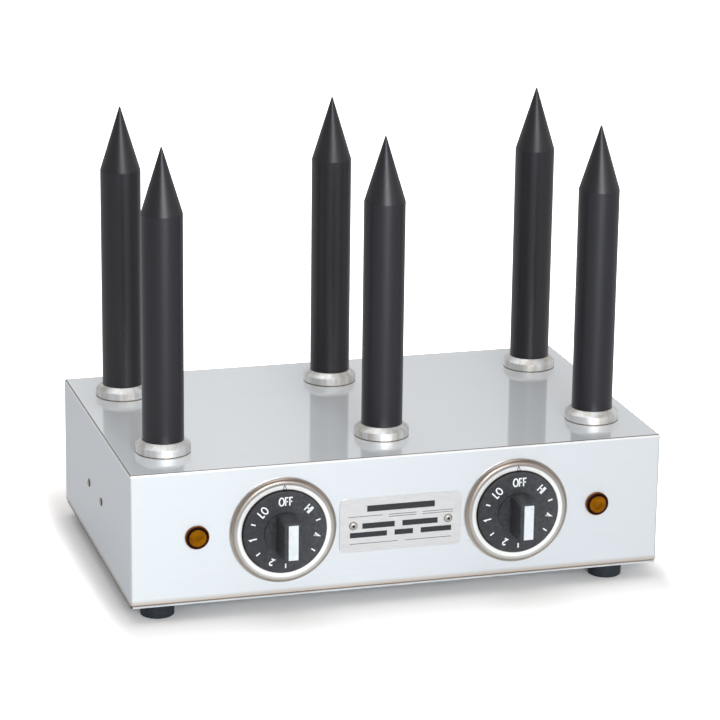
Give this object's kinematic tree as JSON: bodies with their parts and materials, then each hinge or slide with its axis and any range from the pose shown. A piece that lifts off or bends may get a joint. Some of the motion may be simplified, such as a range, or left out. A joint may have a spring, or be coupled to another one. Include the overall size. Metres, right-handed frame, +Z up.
{
  "type": "bun warmer",
  "caption": "Bun warmer: a stainless steel box with upright heated spikes, dial controls in chromed bezels, amber pilot lamps, a riveted plate and low rubber feet.",
  "frame": {"origin": "On the surface that the feet stand on, under the middle of the casing.", "axes": "+X to the right for someone facing the front, +Y to the back, +Z up."},
  "size_m": [0.3451, 0.2626, 0.2886],
  "materials": {
    "casing_steel": "brushed stainless steel sheet",
    "base_steel": "plain rolled stainless steel sheet",
    "fastener_steel": "bright zinc-plated steel",
    "foot_rubber": "moulded black rubber",
    "spike_coating": "dark satin non-stick coating on aluminium",
    "collar_steel": "bright turned steel",
    "heater_steel": "drawn steel sheath",
    "bezel_chrome": "chromed pressing",
    "knob_plastic": "finely textured black moulding",
    "insert_white": "smooth white moulding",
    "spring_steel": "blue-grey spring steel",
    "regulator_plastic": "moulded heat-proof plastic",
    "spindle_brass": "turned brass",
    "lens_amber": "clear amber moulding",
    "lamp_plastic": "moulded black plastic",
    "plate_aluminium": "satin anodised sheet",
    "rivet_aluminium": "plain blind rivet",
    "bracket_steel": "zinc-plated sheet",
    "block_plastic": "moulded white plastic",
    "gland_plastic": "moulded black nylon",
    "seal_rubber": "soft black rubber",
    "lead_sleeve": "woven glass sleeving",
    "earth_sleeve": "green and yellow insulation"
  },
  "bodies": {
    "housing": {"casing": "casing_steel", "base_plate": "base_steel", "base_screws": "fastener_steel", "foot_screws": "fastener_steel", "foot_nuts": "fastener_steel", "spike_washers": "fastener_steel", "spike_locknuts": "fastener_steel", "heater_cartridges": "heater_steel", "regulator_screws": "fastener_steel", "lamp_clips": "spring_steel", "rating_plate": "plate_aluminium", "plate_rivets": "rivet_aluminium", "side_rivets": "rivet_aluminium", "terminal_bracket": "bracket_steel", "terminal_block": "block_plastic", "terminal_screws": "fastener_steel", "gland_body": "gland_plastic", "gland_nut": "gland_plastic", "gland_seal": "seal_rubber", "gland_locknut": "gland_plastic", "earth_stud": "spindle_brass", "earth_nuts": "spindle_brass", "heater_leads": "lead_sleeve", "lamp_leads": "lead_sleeve", "supply_leads": "lead_sleeve", "earth_lead": "earth_sleeve", "foot_front_left": "foot_rubber", "foot_front_right": "foot_rubber", "spike_front_left": "spike_coating", "spike_collar_front_left": "collar_steel", "spike_front_middle": "spike_coating", "spike_collar_front_middle": "collar_steel", "spike_front_right": "spike_coating", "spike_collar_front_right": "collar_steel", "foot_rear_left": "foot_rubber", "foot_rear_right": "foot_rubber", "spike_rear_left": "spike_coating", "spike_collar_rear_left": "collar_steel", "spike_rear_middle": "spike_coating", "spike_collar_rear_middle": "collar_steel", "spike_rear_right": "spike_coating", "spike_collar_rear_right": "collar_steel", "bezel_left": "bezel_chrome", "regulator_body_left": "regulator_plastic", "pilot_lens_left": "lens_amber", "lamp_body_left": "lamp_plastic", "bezel_right": "bezel_chrome", "regulator_body_right": "regulator_plastic", "pilot_lens_right": "lens_amber", "lamp_body_right": "lamp_plastic"},
    "control_left": {"knob_left": "knob_plastic", "knob_insert_left": "insert_white", "knob_spring_left": "spring_steel", "regulator_spindle_left": "spindle_brass"},
    "control_right": {"knob_right": "knob_plastic", "knob_insert_right": "insert_white", "knob_spring_right": "spring_steel", "regulator_spindle_right": "spindle_brass"}
  },
  "joints": [
    {"name": "dial_left_turn", "type": "hinge", "parent": "housing", "child": "control_left", "pos_m": [-0.0758, -0.1055, 0.05355], "axis": [0, 1, 0], "range_deg": [0, 315]},
    {"name": "dial_right_turn", "type": "hinge", "parent": "housing", "child": "control_right", "pos_m": [0.0758, -0.1055, 0.05355], "axis": [0, 1, 0], "range_deg": [0, 315]}
  ]
}
